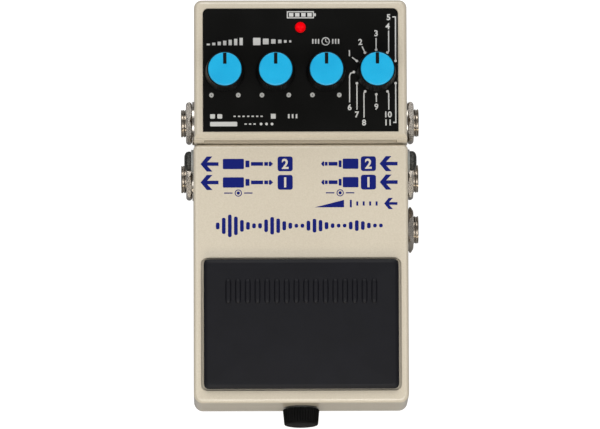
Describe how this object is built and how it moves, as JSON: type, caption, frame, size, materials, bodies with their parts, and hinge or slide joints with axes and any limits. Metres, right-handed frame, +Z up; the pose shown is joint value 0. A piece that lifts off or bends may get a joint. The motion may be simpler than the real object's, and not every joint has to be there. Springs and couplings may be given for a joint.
{
  "type": "digital delay pedal",
  "caption": "Compact foot-operated delay effect: sprung treadle with rubber pad over a die-cast case, row of rotary controls, check lamp and side plug sockets.",
  "frame": {"origin": "middle of the bounding box at the surface that the pedal stands on", "axes": "+Z up, +Y from the thumbscrew to the rear face, +X to the player's right"},
  "size_m": [0.0746, 0.129, 0.0589],
  "materials": {
    "cream_paint": "satin",
    "label_film": "satin",
    "black_rubber": "matt",
    "black_plastic": "satin",
    "blue_plastic": "satin",
    "nickel": "polished",
    "dark_screw": "textured",
    "light_nylon": "satin",
    "plated_steel": "satin",
    "spring_steel": "satin",
    "brass": "satin",
    "board_green": "satin",
    "board_parts": "matt",
    "socket_plastic": "matt",
    "red_lens": "gloss",
    "battery_shell": "satin",
    "foam": "matt",
    "cable_grey": "matt",
    "lead_wire": "satin",
    "aluminium_shaft": "satin"
  },
  "bodies": {
    "case": {"main_case": "cream_paint", "control_label": "label_film", "bottom_plate": "plated_steel", "bottom_mat": "black_rubber", "bottom_screws": "plated_steel", "main_board": "board_green", "main_board_parts": "board_parts", "control_board": "board_green", "ribbon_cable": "cable_grey", "board_screws": "plated_steel", "level_pot": "plated_steel", "feedback_pot": "plated_steel", "time_pot": "plated_steel", "mode_selector": "plated_steel", "pot_washers": "plated_steel", "pot_nuts": "plated_steel", "check_led": "red_lens", "output_b_jack": "socket_plastic", "output_a_jack": "socket_plastic", "input_b_jack": "socket_plastic", "input_a_jack": "socket_plastic", "expression_jack": "socket_plastic", "jack_contacts": "brass", "jack_sleeves": "nickel", "jack_washers": "nickel", "jack_nuts": "nickel", "power_jack": "socket_plastic", "usb_port": "plated_steel", "battery": "battery_shell", "battery_foam": "foam", "battery_snap": "black_plastic", "battery_leads": "lead_wire", "foot_switch": "socket_plastic", "switch_board": "board_green", "guide_bush": "light_nylon", "treadle_bumpers": "black_rubber", "pivot_screws": "dark_screw", "return_spring": "spring_steel"},
    "treadle": {"treadle": "cream_paint", "treadle_pad": "black_rubber", "pivot_bushes": "light_nylon", "spring_cap": "light_nylon", "switch_actuator": "light_nylon", "thumbscrew_insert": "brass"},
    "thumbscrew_slide": {"thumbscrew_washer": "light_nylon"},
    "thumbscrew": {"thumbscrew_knob": "black_plastic", "thumbscrew_shaft": "plated_steel"},
    "switch_plunger": {"switch_plunger": "light_nylon"},
    "level_knob": {"level_knob": "black_plastic", "level_cap": "blue_plastic", "level_shaft": "aluminium_shaft"},
    "feedback_knob": {"feedback_knob": "black_plastic", "feedback_cap": "blue_plastic", "feedback_shaft": "aluminium_shaft"},
    "time_knob": {"time_knob": "black_plastic", "time_cap": "blue_plastic", "time_shaft": "aluminium_shaft"},
    "mode_knob": {"mode_knob": "black_plastic", "mode_cap": "blue_plastic", "mode_shaft": "aluminium_shaft"}
  },
  "joints": [
    {"name": "treadle_press", "type": "hinge", "parent": "case", "child": "treadle", "pos_m": [0, 0.0167, 0.033], "axis": [1, 0, 0], "range_deg": [0, 2.5], "stiffness_Nm_per_rad": 8, "springref_deg": -3.44, "deforming": ["return_spring"]},
    {"name": "switch_travel", "type": "slide", "parent": "case", "child": "switch_plunger", "axis": [0, 0, -1], "range_m": [0, 0.001]},
    {"name": "thumbscrew_slide", "type": "slide", "parent": "treadle", "child": "thumbscrew_slide", "axis": [0, -1, 0], "range_m": [0, 0.0035]},
    {"name": "thumbscrew_turn", "type": "hinge", "parent": "thumbscrew_slide", "child": "thumbscrew", "pos_m": [0, -0.0588, 0.0182], "axis": [0, -1, 0], "range_deg": [0, 1850]},
    {"name": "level_turn", "type": "hinge", "parent": "case", "child": "level_knob", "pos_m": [-0.02351, 0.042, 0.04614], "axis": [0, -0.1564, 0.9877], "range_deg": [-150, 150]},
    {"name": "feedback_turn", "type": "hinge", "parent": "case", "child": "feedback_knob", "pos_m": [-0.00783, 0.042, 0.04614], "axis": [0, -0.1564, 0.9877], "range_deg": [-150, 150]},
    {"name": "time_turn", "type": "hinge", "parent": "case", "child": "time_knob", "pos_m": [0.00783, 0.042, 0.04614], "axis": [0, -0.1564, 0.9877], "range_deg": [-150, 150]},
    {"name": "mode_turn", "type": "hinge", "parent": "case", "child": "mode_knob", "pos_m": [0.02351, 0.042, 0.04614], "axis": [0, -0.1564, 0.9877], "range_deg": [-60, 240]}
  ],
  "couplings": [
    {"joint": "switch_travel", "follows": "treadle_press", "m_per_rad": 0.0227},
    {"joint": "thumbscrew_turn", "follows": "thumbscrew_slide", "rad_per_m": 8976}
  ]
}
